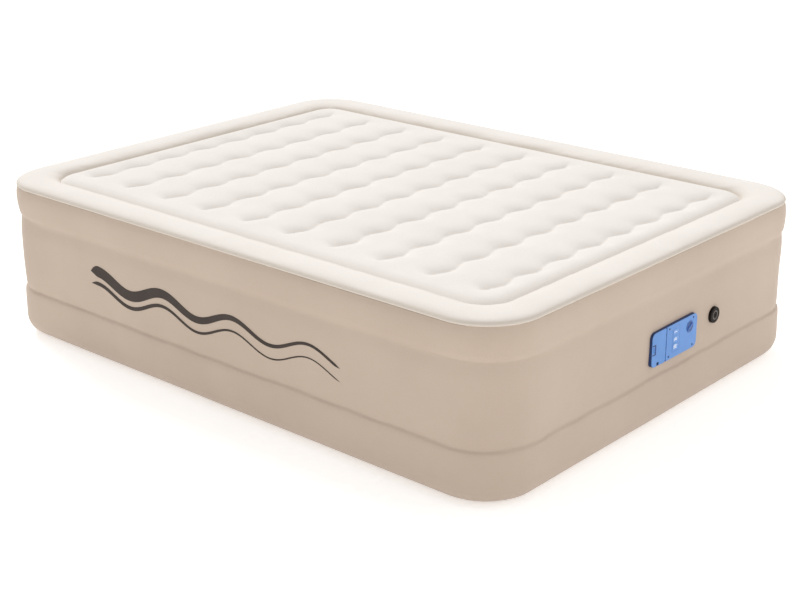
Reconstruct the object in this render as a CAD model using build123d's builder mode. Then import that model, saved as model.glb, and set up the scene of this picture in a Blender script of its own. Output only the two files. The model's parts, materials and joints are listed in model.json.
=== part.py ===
"""A raised queen-size air mattress with a built-in two-motor pump and a separate screw valve.

Millimetres, +Z up. The origin is on the floor at the middle of the footprint. The pump is in the
short wall that faces -Y, and the long walls face -X and +X. Depths in the pump and the valve are
measured inwards (+Y) from the outermost plane of that short wall.
"""

import os

from build123d import *

os.makedirs("parts", exist_ok=True)

# ---------------------------------------------------------------- mattress
LENGTH = 2030  # over everything, from the pump's dial to the far short wall
WIDTH = 1520
HEIGHT = 510
BODY_LENGTH = 2022  # the inflated body alone
BODY_Y = (LENGTH - BODY_LENGTH) / 2
CORNER_RADIUS = 170
SHEET = 2.0  # thickness of the outer sheets
WEB = 1.5  # thickness of the bottom sheet and of the internal sheets

FLOOR_RADIUS = 60  # how the side wall rolls under to the bottom sheet
LOWER_GROOVE_Z = 156
UPPER_GROOVE_Z = 396
GROOVE_DEPTH = 11
MIDDLE_INSET = 3  # the middle band stands this far inside the upper and lower bands
SEAM_Z = 497
SEAM_INSET = 6
RIM_CREST_INSET = 56
CREASE_INSET = 127
CREASE_RADIUS = 80
CREASE_Z = 488

BEAM_COUNT = 10
BEAM_PITCH = 176
BEAM_WAVE = 142  # one full wave along the beam
BEAM_SWING = 10  # how far the wave leaves the beam's middle line
BEAM_HALF_WAVES = 16
QUILT_RISE = 18  # height of a channel's crown above the line where its beam is welded
QUILT_WELD_Z = 485
QUILT_OVERRUN = 10  # the quilted sheet is drawn this much too wide, then trimmed to the crease
WELD_WIDTH = 6

# ---------------------------------------------------------------- pump panel
FRONT = -LENGTH / 2
PUMP_X = 28
PUMP_Z = 245
PLATE_WIDTH = 228
PLATE_HEIGHT = 101
PLATE_RADIUS = 16
PATCH_WIDTH = 330
PATCH_HEIGHT = 172
PATCH_RADIUS = 30
WALL_GAP = 0.3  # between the side wall's openings and the hard pieces in them
FACE = 3.0  # depth of the panel's and the door's faces
PLATE = 1.6  # thickness of the panel's and the door's outer plates
BEZEL_FRONT = FACE + PLATE
BEZEL_WALL = 4
BODY_BACK = 7.0  # back of the panel's and the door's inner bodies
BODY_GAP = 0.6
GASKET_FRONT = 18.0
FLANGE_FRONT = 18.8
FLANGE_BACK = 20.8
FLANGE_RIM = 11
TUB_FRONT = 10
TUB_BACK = 106
TUB_GAP = 0.5
TUB_WALL = 2
DIVIDER_X = -46  # the wall between the cord compartment and the motor chamber

HINGE_X = -45
HINGE_DEPTH = FACE + 2.0
KNUCKLE_RADIUS = 2.0
PIN_RADIUS = 1.0
PIN_CLEARANCE = 0.06
DOOR_EDGE_GAP = 2.2
PANEL_EDGE_GAP = 3.4
DOOR_GAP = 0.3  # between the closed door and the bezel behind it
DOOR_KNUCKLES = (-19, 19)
PANEL_KNUCKLES = (-38, 0, 38)
KNUCKLE_LENGTH = 14
NOTCH_X = -83
NOTCH_WIDTH = 11
NOTCH_TOP = -39.5

LATCH_Z = 1
LATCH_WIDTH = 22
LATCH_LENGTH = 9
LATCH_TRAVEL = 2.5
LATCH_GAP = 0.5

TRAY_RIGHT = -49.5
TRAY_BACK = 62
TRAY_WALL = 1.8
GLAND_X, GLAND_Z = -78, -24
GLAND_RADIUS = 4
GLAND_BORE = 3

SCREW_X = (-29, 94)
SCREW_Z = (-41, 41)
SCREW_HEAD_RADIUS = 3.0
SCREW_RADIUS = 1.5
SCREW_END = 24

BUTTON_X = 2
BUTTON_Z = 3.5
BUTTON_PITCH = 21.7
BUTTON_WIDTH = 22
BUTTON_HEIGHT = 16
BUTTON_GAP = 0.4
BUTTON_TOP = 2.2
BUTTON_TRAVEL = 1.2
BUTTONS = ("soft", "medium", "firm")
LIGHT_X = BUTTON_X + 15.5
LIGHT_RADIUS = 1.3

DIAL_X = 76
DIAL_Z = 18
DIAL_RADIUS = 16
DIAL_GAP = 0.5
DIAL_FACE = 2.0
DIAL_REST_ANGLE = 35
SHAFT_RADIUS = 3
DRUM_RADIUS = 14
DRUM_FRONT, DRUM_BACK = 34, 52

BOARD_FRONT = 17
BOARD_BACK = 18.6

# (x, z, motor radius, motor front, motor back, fan radius, fan front, fan back, shaft radius)
MAIN_PUMP = (-3, -1, 19, 34, 70, 33, 76, 98, 2.0)
QUIET_PUMP = (76, -21, 11, 34, 60, 14, 66, 76, 1.2)

# ---------------------------------------------------------------- screw valve
VALVE_X = 245
VALVE_Z = 255
VALVE_RADIUS = 24
VALVE_BORE = 18
VALVE_FACE = 8
CAP_FACE = 5
CAP_SKIRT_BACK = 20


def footprint(inset, radius=None, mode=Mode.ADD):
    """The footprint's rounded rectangle, in the sketch being built."""
    RectangleRounded(
        WIDTH - 2 * inset, BODY_LENGTH - 2 * inset, radius or CORNER_RADIUS - inset, mode=mode
    )


def outline(inset):
    """The body's rounded footprint, taken in by inset, as a closed wire."""
    with BuildSketch() as loop:
        with Locations((0, BODY_Y)):
            footprint(inset)
    return loop.sketch.faces()[0].outer_wire()


def wall_plane(rail):
    """A plane across the rail's start: x points outwards, y points up."""
    along = rail % 0
    return Plane(origin=rail @ 0, x_dir=along.cross(Vector(0, 0, 1)), z_dir=-along)


def facing(depth, x=PUMP_X, z=PUMP_Z):
    """A plane facing outwards (-Y) at that depth, centred on the pump panel or on (x, z)."""
    return Plane(origin=(x, FRONT + depth, z), x_dir=(1, 0, 0), z_dir=(0, -1, 0))


def from_above(x=PUMP_X, z=PUMP_Z):
    """A plane facing up at height z whose y is minus the depth, for pieces drawn in section."""
    return Plane(origin=(x, FRONT, z), x_dir=(1, 0, 0), z_dir=(0, 0, 1))


def save(piece, name):
    piece.part.label = name
    export_step(piece.part, f"parts/{name}.step")


# ================================================================ mattress envelope
with BuildPart() as bottom_sheet:
    with BuildSketch():
        with Locations((0, BODY_Y)):
            footprint(FLOOR_RADIUS)
    extrude(amount=WEB)
save(bottom_sheet, "bottom_sheet")

rail = outline(0)
middle_z = (LOWER_GROOVE_Z + UPPER_GROOVE_Z) / 2
with BuildPart() as side_wall:
    with BuildSketch(wall_plane(rail)):
        with BuildLine():
            for inside in (0, SHEET):
                groove = -GROOVE_DEPTH - inside
                CenterArc((-FLOOR_RADIUS, FLOOR_RADIUS), FLOOR_RADIUS - inside, -90, 90)
                ThreePointArc(
                    (-inside, FLOOR_RADIUS),
                    (-inside - GROOVE_DEPTH / 4, (FLOOR_RADIUS + LOWER_GROOVE_Z) / 2),
                    (groove, LOWER_GROOVE_Z),
                )
                ThreePointArc(
                    (groove, LOWER_GROOVE_Z),
                    (-MIDDLE_INSET - inside, middle_z),
                    (groove, UPPER_GROOVE_Z),
                )
                ThreePointArc(
                    (groove, UPPER_GROOVE_Z),
                    (-inside - 0.3, (UPPER_GROOVE_Z + SEAM_Z) / 2),
                    (-SEAM_INSET - inside, SEAM_Z),
                )
            Line((-FLOOR_RADIUS, 0), (-FLOOR_RADIUS, SHEET))
            Line((-SEAM_INSET, SEAM_Z), (-SEAM_INSET - SHEET, SEAM_Z))
        make_face()
    sweep(path=rail)
    with BuildSketch(facing(4 * GROOVE_DEPTH)):
        RectangleRounded(
            PLATE_WIDTH + 2 * WALL_GAP, PLATE_HEIGHT + 2 * WALL_GAP, PLATE_RADIUS + WALL_GAP
        )
    extrude(amount=4 * GROOVE_DEPTH, mode=Mode.SUBTRACT)
    with BuildSketch(facing(4 * GROOVE_DEPTH, VALVE_X, VALVE_Z)):
        Circle(VALVE_RADIUS + WALL_GAP)
    extrude(amount=4 * GROOVE_DEPTH, mode=Mode.SUBTRACT)

# The piece of wall around the pump is its own sheet, welded in with the pump's flange.
with BuildPart() as pump_patch:
    add(side_wall.part)
    with BuildSketch(facing(4 * GROOVE_DEPTH)):
        RectangleRounded(PATCH_WIDTH, PATCH_HEIGHT, PATCH_RADIUS)
    extrude(amount=4 * GROOVE_DEPTH, mode=Mode.INTERSECT)
save(pump_patch, "pump_patch")

with side_wall:
    with BuildSketch(facing(4 * GROOVE_DEPTH)):
        RectangleRounded(PATCH_WIDTH, PATCH_HEIGHT, PATCH_RADIUS)
    extrude(amount=4 * GROOVE_DEPTH, mode=Mode.SUBTRACT)
save(side_wall, "side_wall")

with BuildPart() as top_rim:
    with BuildSketch(wall_plane(rail)):
        with BuildLine():
            for inside, down in ((0, 0), (SHEET, SHEET)):
                ThreePointArc(
                    (-SEAM_INSET - inside, SEAM_Z),
                    (-RIM_CREST_INSET, HEIGHT - down),
                    (-CREASE_INSET, CREASE_Z - down),
                )
            Line((-SEAM_INSET, SEAM_Z), (-SEAM_INSET - SHEET, SEAM_Z))
            Line((-CREASE_INSET, CREASE_Z), (-CREASE_INSET, CREASE_Z - SHEET))
        make_face()
    sweep(path=rail)
save(top_rim, "top_rim")

# The quilted sheet arches between the lines where the wave beams are welded to it.
half_length = BODY_LENGTH / 2 - CREASE_INSET
half_width = WIDTH / 2 - CREASE_INSET
beam_lines = [BODY_Y + (i - (BEAM_COUNT - 1) / 2) * BEAM_PITCH for i in range(BEAM_COUNT)]
quilt_lines = [BODY_Y - half_length, *beam_lines, BODY_Y + half_length]
half_weld = WELD_WIDTH / 2
with BuildPart() as sleeping_surface:
    with BuildSketch(Plane.YZ.offset(-half_width - QUILT_OVERRUN)):
        with BuildLine():
            for level in (QUILT_WELD_Z, QUILT_WELD_Z - SHEET):
                for near, far in zip(quilt_lines, quilt_lines[1:]):
                    rise = QUILT_RISE * min(1, (far - near) / BEAM_PITCH + 0.1)
                    Line((near - half_weld, level), (near + half_weld, level))
                    ThreePointArc(
                        (near + half_weld, level),
                        ((near + far) / 2, level + rise),
                        (far - half_weld, level),
                    )
                Line((quilt_lines[-1] - half_weld, level), (quilt_lines[-1] + half_weld, level))
            for end in (quilt_lines[0] - half_weld, quilt_lines[-1] + half_weld):
                Line((end, QUILT_WELD_Z), (end, QUILT_WELD_Z - SHEET))
        make_face()
    extrude(amount=2 * (half_width + QUILT_OVERRUN))
    with BuildSketch(Plane.XY.offset(QUILT_WELD_Z - 3 * SHEET)):
        with Locations((0, BODY_Y)):
            footprint(CREASE_INSET)
    extrude(amount=HEIGHT - QUILT_WELD_Z, mode=Mode.INTERSECT)
save(sleeping_surface, "sleeping_surface")

# ================================================================ internal sheets
INNER_TOP = QUILT_WELD_Z - SHEET
with BuildPart() as inner_girth:
    with BuildSketch(Plane.XY.offset(WEB)):
        with Locations((0, BODY_Y)):
            footprint(CREASE_INSET, CREASE_RADIUS)
            footprint(CREASE_INSET + WEB, CREASE_RADIUS - WEB, Mode.SUBTRACT)
    extrude(amount=INNER_TOP - WEB)
save(inner_girth, "inner_girth")

for tie_name, tie_z in (("lower_tie", LOWER_GROOVE_Z), ("upper_tie", UPPER_GROOVE_Z)):
    with BuildPart() as tie:
        with BuildSketch(Plane.XY.offset(tie_z - WEB / 2)):
            with Locations((0, BODY_Y)):
                footprint(GROOVE_DEPTH + SHEET)
                footprint(CREASE_INSET, CREASE_RADIUS, Mode.SUBTRACT)
        extrude(amount=WEB)
    save(tie, tie_name)

beam_start = -BEAM_HALF_WAVES * BEAM_WAVE / 4
for number, beam_y in enumerate(beam_lines, 1):
    with BuildPart() as beam:
        with BuildSketch(Plane.XY.offset(WEB)):
            with BuildLine():
                for side in (beam_y - WEB / 2, beam_y + WEB / 2):
                    for half in range(BEAM_HALF_WAVES):
                        near = beam_start + half * BEAM_WAVE / 2
                        swing = BEAM_SWING * (-1) ** half
                        ThreePointArc(
                            (near, side),
                            (near + BEAM_WAVE / 4, side + swing),
                            (near + BEAM_WAVE / 2, side),
                        )
                for end in (beam_start, -beam_start):
                    Line((end, beam_y - WEB / 2), (end, beam_y + WEB / 2))
            make_face()
        extrude(amount=INNER_TOP - WEB)
    save(beam, f"wave_beam_{number:02d}")

# ================================================================ pump: fixed shell
with BuildPart() as bezel:
    with BuildSketch(facing(FLANGE_BACK)):
        RectangleRounded(
            PLATE_WIDTH + 2 * FLANGE_RIM, PLATE_HEIGHT + 2 * FLANGE_RIM, PLATE_RADIUS + FLANGE_RIM
        )
    extrude(amount=FLANGE_BACK - FLANGE_FRONT)
    with BuildSketch(facing(FLANGE_BACK)):
        RectangleRounded(PLATE_WIDTH, PLATE_HEIGHT, PLATE_RADIUS)
    extrude(amount=FLANGE_BACK - BEZEL_FRONT)
    with BuildSketch(facing(FLANGE_BACK)):
        inside = 2 * BEZEL_WALL
        RectangleRounded(PLATE_WIDTH - inside, PLATE_HEIGHT - inside, PLATE_RADIUS - BEZEL_WALL)
    extrude(amount=FLANGE_BACK - BEZEL_FRONT, mode=Mode.SUBTRACT)
save(bezel, "bezel")

with BuildPart() as gasket:
    with BuildSketch(facing(FLANGE_FRONT)):
        RectangleRounded(
            PLATE_WIDTH + 2 * FLANGE_RIM - 2, PLATE_HEIGHT + 2 * FLANGE_RIM - 2, PLATE_RADIUS + 10
        )
        RectangleRounded(
            PLATE_WIDTH + 1, PLATE_HEIGHT + 1, PLATE_RADIUS + 0.5, mode=Mode.SUBTRACT
        )
    extrude(amount=FLANGE_FRONT - GASKET_FRONT)
save(gasket, "gasket")

tub_width = PLATE_WIDTH - 2 * BEZEL_WALL - 2 * TUB_GAP
tub_height = PLATE_HEIGHT - 2 * BEZEL_WALL - 2 * TUB_GAP
tub_radius = PLATE_RADIUS - BEZEL_WALL - TUB_GAP
screw_points = [(x, z) for x in SCREW_X for z in SCREW_Z]
main_x, main_z, main_can, main_front, main_back = MAIN_PUMP[:5]
main_fan, main_fan_front, main_fan_back, main_shaft_radius = MAIN_PUMP[5:]
quiet_x, quiet_z, quiet_can, quiet_front, quiet_back = QUIET_PUMP[:5]
quiet_fan, quiet_fan_front, quiet_fan_back, quiet_shaft_radius = QUIET_PUMP[5:]
OUTLET_RADIUS = 9
OUTLET_Z = main_z + 20
OUTLET_BACK = 112
SENSOR_X, SENSOR_Z = 40, 30
SENSOR_TUBE_RADIUS = 1.5
with BuildPart() as tub:
    with BuildSketch(facing(TUB_BACK)):
        RectangleRounded(tub_width, tub_height, tub_radius)
    extrude(amount=TUB_BACK - TUB_FRONT)
    with BuildSketch(facing(TUB_BACK - TUB_WALL)):
        RectangleRounded(
            tub_width - 2 * TUB_WALL, tub_height - 2 * TUB_WALL, tub_radius - TUB_WALL
        )
    extrude(amount=TUB_BACK, mode=Mode.SUBTRACT)
    with BuildSketch(facing(TUB_BACK - TUB_WALL)):
        with Locations((DIVIDER_X, 0)):
            Rectangle(TUB_WALL, tub_height - TUB_WALL)
    extrude(amount=TUB_BACK - TUB_WALL - TUB_FRONT)
    with BuildSketch(facing(TUB_BACK - TUB_WALL)):
        with Locations(*screw_points):
            Circle(4)
    extrude(amount=TUB_BACK - TUB_WALL - BODY_BACK)
    with BuildSketch(facing(SCREW_END + 2)):
        with Locations(*screw_points):
            Circle(SCREW_RADIUS + 0.05)
    extrude(amount=SCREW_END, mode=Mode.SUBTRACT)
    with BuildSketch(facing(TUB_BACK)):
        with Locations((main_x, OUTLET_Z)):
            Circle(OUTLET_RADIUS)
        with Locations((quiet_x, quiet_z)):
            Circle(5)
        with Locations((SENSOR_X, SENSOR_Z)):
            Circle(SENSOR_TUBE_RADIUS + 0.3)
    extrude(amount=2 * TUB_WALL, both=True, mode=Mode.SUBTRACT)
    with BuildSketch(Plane.YZ.offset(PUMP_X + DIVIDER_X)):
        with GridLocations(8, 0, 4, 1):
            with Locations((FRONT + 40, PUMP_Z + 18)):
                SlotOverall(24, 3, rotation=90)
    extrude(amount=TUB_WALL, both=True, mode=Mode.SUBTRACT)
save(tub, "tub")

# ================================================================ pump: cord compartment
tray_left = -tub_width / 2 + TUB_WALL + TUB_GAP
tray_middle = (tray_left + TRAY_RIGHT) / 2
tray_width = TRAY_RIGHT - tray_left
tray_height = tub_height - 2 * TUB_WALL - 2 * TUB_GAP
tray_radius = tub_radius - TUB_WALL - TUB_GAP
with BuildPart() as cord_tray:
    with BuildSketch(facing(TRAY_BACK)):
        with Locations((tray_middle, 0)):
            RectangleRounded(tray_width, tray_height, tray_radius)
    extrude(amount=TRAY_BACK - TUB_FRONT)
    with BuildSketch(facing(TRAY_BACK - TRAY_WALL)):
        with Locations((tray_middle, 0)):
            RectangleRounded(
                tray_width - 2 * TRAY_WALL, tray_height - 2 * TRAY_WALL, tray_radius - TRAY_WALL
            )
    extrude(amount=TRAY_BACK, mode=Mode.SUBTRACT)
    with BuildSketch(facing(TRAY_BACK)):
        with Locations((GLAND_X, GLAND_Z)):
            Circle(GLAND_RADIUS)
    extrude(amount=TRAY_WALL, mode=Mode.SUBTRACT)
    with BuildSketch(Plane.YZ.offset(PUMP_X + TRAY_RIGHT)):
        with GridLocations(8, 0, 4, 1):
            with Locations((FRONT + 40, PUMP_Z + 18)):
                SlotOverall(24, 3, rotation=90)
    extrude(amount=2 * TRAY_WALL, both=True, mode=Mode.SUBTRACT)
save(cord_tray, "cord_tray")

with BuildPart() as cord_gland:
    with BuildSketch(facing(TRAY_BACK + 8)):
        with Locations((GLAND_X, GLAND_Z)):
            Circle(GLAND_RADIUS)
    extrude(amount=8 + TRAY_WALL)
    with BuildSketch(facing(TRAY_BACK - TRAY_WALL)):
        with Locations((GLAND_X, GLAND_Z)):
            Circle(GLAND_RADIUS + 2)
    extrude(amount=2)
    with BuildSketch(facing(TRAY_BACK + 8)):
        with Locations((GLAND_X, GLAND_Z)):
            Circle(GLAND_BORE)
    extrude(amount=TRAY_BACK, mode=Mode.SUBTRACT)
save(cord_gland, "cord_gland")

# ================================================================ pump: cord door
hinge_line = PUMP_X + HINGE_X


def panel_outline():
    RectangleRounded(PLATE_WIDTH - 1, PLATE_HEIGHT - 1, PLATE_RADIUS - 0.5)


def keep(left, right, height=PLATE_HEIGHT):
    """Trims the sketch being built to the strip from left to right."""
    with Locations(((left + right) / 2, 0)):
        Rectangle(right - left, height, mode=Mode.INTERSECT)


def knuckles(heights, radius, mode=Mode.ADD):
    """Cylinders on the hinge line, KNUCKLE_LENGTH long, centred at these heights."""
    for height in heights:
        with BuildSketch(from_above(hinge_line, PUMP_Z + height - KNUCKLE_LENGTH / 2)) as disc:
            with Locations((0, HINGE_DEPTH)):
                Circle(radius)
        extrude(disc.sketch, amount=KNUCKLE_LENGTH, mode=mode)


def knuckle_webs(heights, left, right, front, back):
    """Blocks that join knuckles to the plate or body beside them."""
    with BuildSketch(facing(back)) as blocks:
        for height in heights:
            with Locations(((left + right) / 2, height)):
                Rectangle(right - left, KNUCKLE_LENGTH)
    extrude(blocks.sketch, amount=back - front)


door_back = BEZEL_FRONT - DOOR_GAP
door_right = HINGE_X - DOOR_EDGE_GAP
latch_right = -PLATE_WIDTH / 2 + BEZEL_WALL + LATCH_LENGTH
cutout_right = latch_right + LATCH_TRAVEL + LATCH_GAP
slider_left = -PLATE_WIDTH / 2 + BEZEL_WALL + BODY_GAP
with BuildPart() as cord_door:
    with BuildSketch(facing(door_back)):
        panel_outline()
        keep(-PLATE_WIDTH, door_right)
    extrude(amount=door_back - FACE)
    with BuildSketch(facing(BODY_BACK)):
        inside = 2 * BEZEL_WALL + 2 * BODY_GAP
        RectangleRounded(
            PLATE_WIDTH - inside, PLATE_HEIGHT - inside, PLATE_RADIUS - BEZEL_WALL - BODY_GAP
        )
        inside = inside + 4
        RectangleRounded(
            PLATE_WIDTH - inside,
            PLATE_HEIGHT - inside,
            PLATE_RADIUS - BEZEL_WALL - BODY_GAP - 2,
            mode=Mode.SUBTRACT,
        )
        keep(-PLATE_WIDTH, door_right - 4)
    extrude(amount=BODY_BACK - door_back)
    knuckle_webs(DOOR_KNUCKLES, door_right - 1, HINGE_X, FACE, door_back)
    knuckles(DOOR_KNUCKLES, KNUCKLE_RADIUS)
    knuckles(DOOR_KNUCKLES, PIN_RADIUS + PIN_CLEARANCE, Mode.SUBTRACT)
    with BuildSketch(facing(BODY_BACK + 1)):
        with Locations(((cutout_right - PLATE_WIDTH / 2) / 2 - 5, LATCH_Z)):
            Rectangle(cutout_right + PLATE_WIDTH / 2 + 10, LATCH_WIDTH + 2 * LATCH_GAP)
        with Locations((NOTCH_X, NOTCH_TOP - 10)):
            Rectangle(NOTCH_WIDTH, 20)
    extrude(amount=BODY_BACK + 1, mode=Mode.SUBTRACT)
    rails = [LATCH_Z + side * (LATCH_WIDTH / 2 + LATCH_GAP + 1.6) for side in (-1, 1)]
    with BuildSketch(facing(BODY_BACK)):
        for rail_z in rails:
            with Locations(((slider_left + cutout_right + 8) / 2, rail_z)):
                Rectangle(cutout_right + 8 - slider_left, 2)
    extrude(amount=BODY_BACK - door_back)
save(cord_door, "cord_door")

with BuildPart() as hinge_pin:
    pin_span = PANEL_KNUCKLES[-1] - PANEL_KNUCKLES[0] + KNUCKLE_LENGTH
    with BuildSketch(from_above(hinge_line, PUMP_Z - pin_span / 2)):
        with Locations((0, HINGE_DEPTH)):
            Circle(PIN_RADIUS)
    extrude(amount=pin_span)
save(hinge_pin, "hinge_pin")

with BuildPart() as door_latch:
    with BuildSketch(facing(door_back)):
        panel_outline()
        keep(-PLATE_WIDTH, latch_right)
        with Locations((latch_right - 20, LATCH_Z)):
            Rectangle(40, LATCH_WIDTH, mode=Mode.INTERSECT)
    extrude(amount=door_back - FACE)
    with BuildSketch(facing(BODY_BACK - 0.6)):
        with Locations(((slider_left + latch_right + 8) / 2, LATCH_Z)):
            Rectangle(latch_right + 8 - slider_left, LATCH_WIDTH - 2)
    extrude(amount=BODY_BACK - 0.6 - door_back - 0.2)
    with BuildSketch(facing(door_back + 0.4)):
        with Locations(((slider_left + latch_right) / 2, LATCH_Z)):
            Rectangle(latch_right - slider_left, LATCH_WIDTH - 4)
    extrude(amount=1)
    with BuildSketch(facing(BODY_BACK + 1.8)):
        with Locations((slider_left + 1, LATCH_Z)):
            Rectangle(2, LATCH_WIDTH - 6)
    extrude(amount=3)
    with BuildSketch(facing(FACE)):
        for step in (0, 1, 2):
            with Locations((latch_right - 2 - 2.2 * step, LATCH_Z)):
                SlotOverall(14, 1, rotation=90)
    extrude(amount=0.6)
save(door_latch, "door_latch")

# ================================================================ pump: control panel
button_points = {
    name: (BUTTON_X, BUTTON_Z + (row - 1) * -BUTTON_PITCH) for row, name in enumerate(BUTTONS)
}
light_points = [(LIGHT_X, z) for _, z in button_points.values()]
panel_left = HINGE_X + PANEL_EDGE_GAP
body_left = panel_left + 1
with BuildPart() as faceplate:
    with BuildSketch(facing(BEZEL_FRONT)):
        panel_outline()
        keep(panel_left, PLATE_WIDTH)
    extrude(amount=PLATE)
    with BuildSketch(facing(BODY_BACK)):
        inside = 2 * BEZEL_WALL + 2 * BODY_GAP
        RectangleRounded(
            PLATE_WIDTH - inside, PLATE_HEIGHT - inside, PLATE_RADIUS - BEZEL_WALL - BODY_GAP
        )
        keep(body_left, PLATE_WIDTH)
    extrude(amount=BODY_BACK - BEZEL_FRONT)
    knuckle_webs(PANEL_KNUCKLES, HINGE_X, body_left + 1, HINGE_DEPTH + 0.4, BODY_BACK)
    knuckles(PANEL_KNUCKLES, KNUCKLE_RADIUS)
    knuckles(PANEL_KNUCKLES, PIN_RADIUS, Mode.SUBTRACT)
    with BuildSketch(facing(BODY_BACK + 1)):
        with Locations(*button_points.values()):
            RectangleRounded(BUTTON_WIDTH + 2 * BUTTON_GAP, BUTTON_HEIGHT + 2 * BUTTON_GAP, 3.4)
        with Locations((DIAL_X, DIAL_Z)):
            Circle(DIAL_RADIUS + DIAL_GAP)
        with Locations(*light_points):
            Circle(LIGHT_RADIUS)
        with Locations(*screw_points):
            Circle(SCREW_RADIUS + 0.2)
    extrude(amount=BODY_BACK + 1, mode=Mode.SUBTRACT)
    with BuildSketch(facing(FACE + 2.4)):
        with Locations(*screw_points):
            Circle(SCREW_HEAD_RADIUS + 0.3)
    extrude(amount=FACE, mode=Mode.SUBTRACT)
save(faceplate, "faceplate")

for number, point in enumerate(screw_points, 1):
    with BuildPart() as screw:
        with BuildSketch(facing(SCREW_END)):
            with Locations(point):
                Circle(SCREW_RADIUS)
        extrude(amount=SCREW_END - FACE - 1)
        with BuildSketch(facing(FACE + 2.4)):
            with Locations(point):
                Circle(SCREW_HEAD_RADIUS)
        extrude(amount=1.6)
        with BuildSketch(facing(FACE + 1.8)):
            with Locations(point):
                Rectangle(3.6, 0.9)
                Rectangle(0.9, 3.6)
        extrude(amount=1, mode=Mode.SUBTRACT)
    save(screw, f"screw_{number}")

SWITCH_FRONT = 13.9
for name, point in button_points.items():
    with BuildPart() as button:
        with BuildSketch(facing(BODY_BACK + 1)):
            with Locations(point):
                RectangleRounded(BUTTON_WIDTH, BUTTON_HEIGHT, 3)
        extrude(amount=BODY_BACK + 1 - BUTTON_TOP)
        fillet(button.faces().sort_by(Axis.Y)[0].edges(), 0.6)
        with BuildSketch(facing(BODY_BACK + 1.6)):
            with Locations(point):
                RectangleRounded(BUTTON_WIDTH + 3, BUTTON_HEIGHT + 3, 4)
        extrude(amount=1.2)
        with BuildSketch(facing(SWITCH_FRONT - BUTTON_TRAVEL - 0.3)):
            with Locations(point):
                Circle(2)
        extrude(amount=SWITCH_FRONT - BUTTON_TRAVEL - 0.3 - BODY_BACK)
    save(button, f"button_{name}")
    with BuildPart() as tact_switch:
        with BuildSketch(facing(BOARD_FRONT)):
            with Locations(point):
                Rectangle(6, 6)
        extrude(amount=BOARD_FRONT - SWITCH_FRONT - 0.6)
        with BuildSketch(facing(BOARD_FRONT)):
            with Locations(point):
                Circle(1.6)
        extrude(amount=BOARD_FRONT - SWITCH_FRONT)
    save(tact_switch, f"tact_switch_{name}")

with BuildPart() as light_guide:
    with BuildSketch(facing(BODY_BACK + 1.6)):
        with Locations((LIGHT_X, BUTTON_Z)):
            RectangleRounded(3.4, 2 * BUTTON_PITCH + 6, 1)
    extrude(amount=1.4)
    with BuildSketch(facing(BODY_BACK + 1.6)):
        with Locations(*light_points):
            Circle(LIGHT_RADIUS)
    extrude(amount=BODY_BACK + 1.6 - FACE + 0.2)
save(light_guide, "light_guide")

with BuildPart() as circuit_board:
    with BuildSketch(facing(BOARD_BACK)):
        with Locations((8, BUTTON_Z - 4)):
            RectangleRounded(70, 62, 2)
    extrude(amount=BOARD_BACK - BOARD_FRONT)
save(circuit_board, "circuit_board")

# ================================================================ pump: dial and diverter
with BuildPart() as dial_knob:
    with BuildSketch(facing(BODY_BACK + 2)):
        with Locations((DIAL_X, DIAL_Z)):
            Circle(DIAL_RADIUS)
    extrude(amount=BODY_BACK + 2 - DIAL_FACE)
    fillet(dial_knob.faces().sort_by(Axis.Y)[0].edges(), 0.8)
    with BuildSketch(facing(BODY_BACK + 2)):
        with Locations((DIAL_X, DIAL_Z)):
            Circle(DIAL_RADIUS + 2.5)
    extrude(amount=1.6)
    with BuildSketch(facing(DIAL_FACE)):
        with Locations(Location((DIAL_X, DIAL_Z), DIAL_REST_ANGLE)):
            SlotOverall(2 * DIAL_RADIUS - 3, 7)
    extrude(amount=DIAL_FACE)
    fillet(dial_knob.faces().sort_by(Axis.Y)[0].edges(), 0.8)
save(dial_knob, "dial_knob")

with BuildPart() as diverter_drum:
    with BuildSketch(facing(DRUM_FRONT)):
        with Locations((DIAL_X, DIAL_Z)):
            Circle(SHAFT_RADIUS)
    extrude(amount=DRUM_FRONT - BODY_BACK - 2)
    with BuildSketch(facing(DRUM_BACK)):
        with Locations((DIAL_X, DIAL_Z)):
            Circle(DRUM_RADIUS - 1.8)
            with Locations((DRUM_RADIUS, 0)):
                Circle(6, mode=Mode.SUBTRACT)
    extrude(amount=DRUM_BACK - DRUM_FRONT)
save(diverter_drum, "diverter_drum")

with BuildPart() as diverter_housing:
    with BuildSketch(facing(DRUM_BACK + 2)):
        with Locations((DIAL_X, DIAL_Z)):
            Circle(DRUM_RADIUS)
    extrude(amount=DRUM_BACK - DRUM_FRONT + 5)
    with BuildSketch(facing(DRUM_BACK + 0.4)):
        with Locations((DIAL_X, DIAL_Z)):
            Circle(DRUM_RADIUS - 1.5)
    extrude(amount=DRUM_BACK - DRUM_FRONT + 0.8, mode=Mode.SUBTRACT)
    with BuildSketch(facing(DRUM_FRONT + 1)):
        with Locations((DIAL_X, DIAL_Z)):
            Circle(SHAFT_RADIUS + 0.06)
    extrude(amount=6, mode=Mode.SUBTRACT)
save(diverter_housing, "diverter_housing")


# ================================================================ pump: motors and fans
def discs(x, z, depth, *radii):
    """A sketch at that depth: a disc of each radius, a negative one cut out."""
    with BuildSketch(facing(depth)) as rings:
        with Locations((x, z)):
            for radius in radii:
                Circle(abs(radius), mode=Mode.ADD if radius > 0 else Mode.SUBTRACT)
    return rings.sketch


def motor(x, z, can, front, back, shaft):
    """A motor's can, with a blind bearing bore in its back face."""
    extrude(discs(x, z, back, can), amount=back - front)
    extrude(discs(x, z, back + 2, can / 2), amount=2)
    extrude(discs(x, z, back + 2, shaft + 0.05), amount=14, mode=Mode.SUBTRACT)


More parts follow.
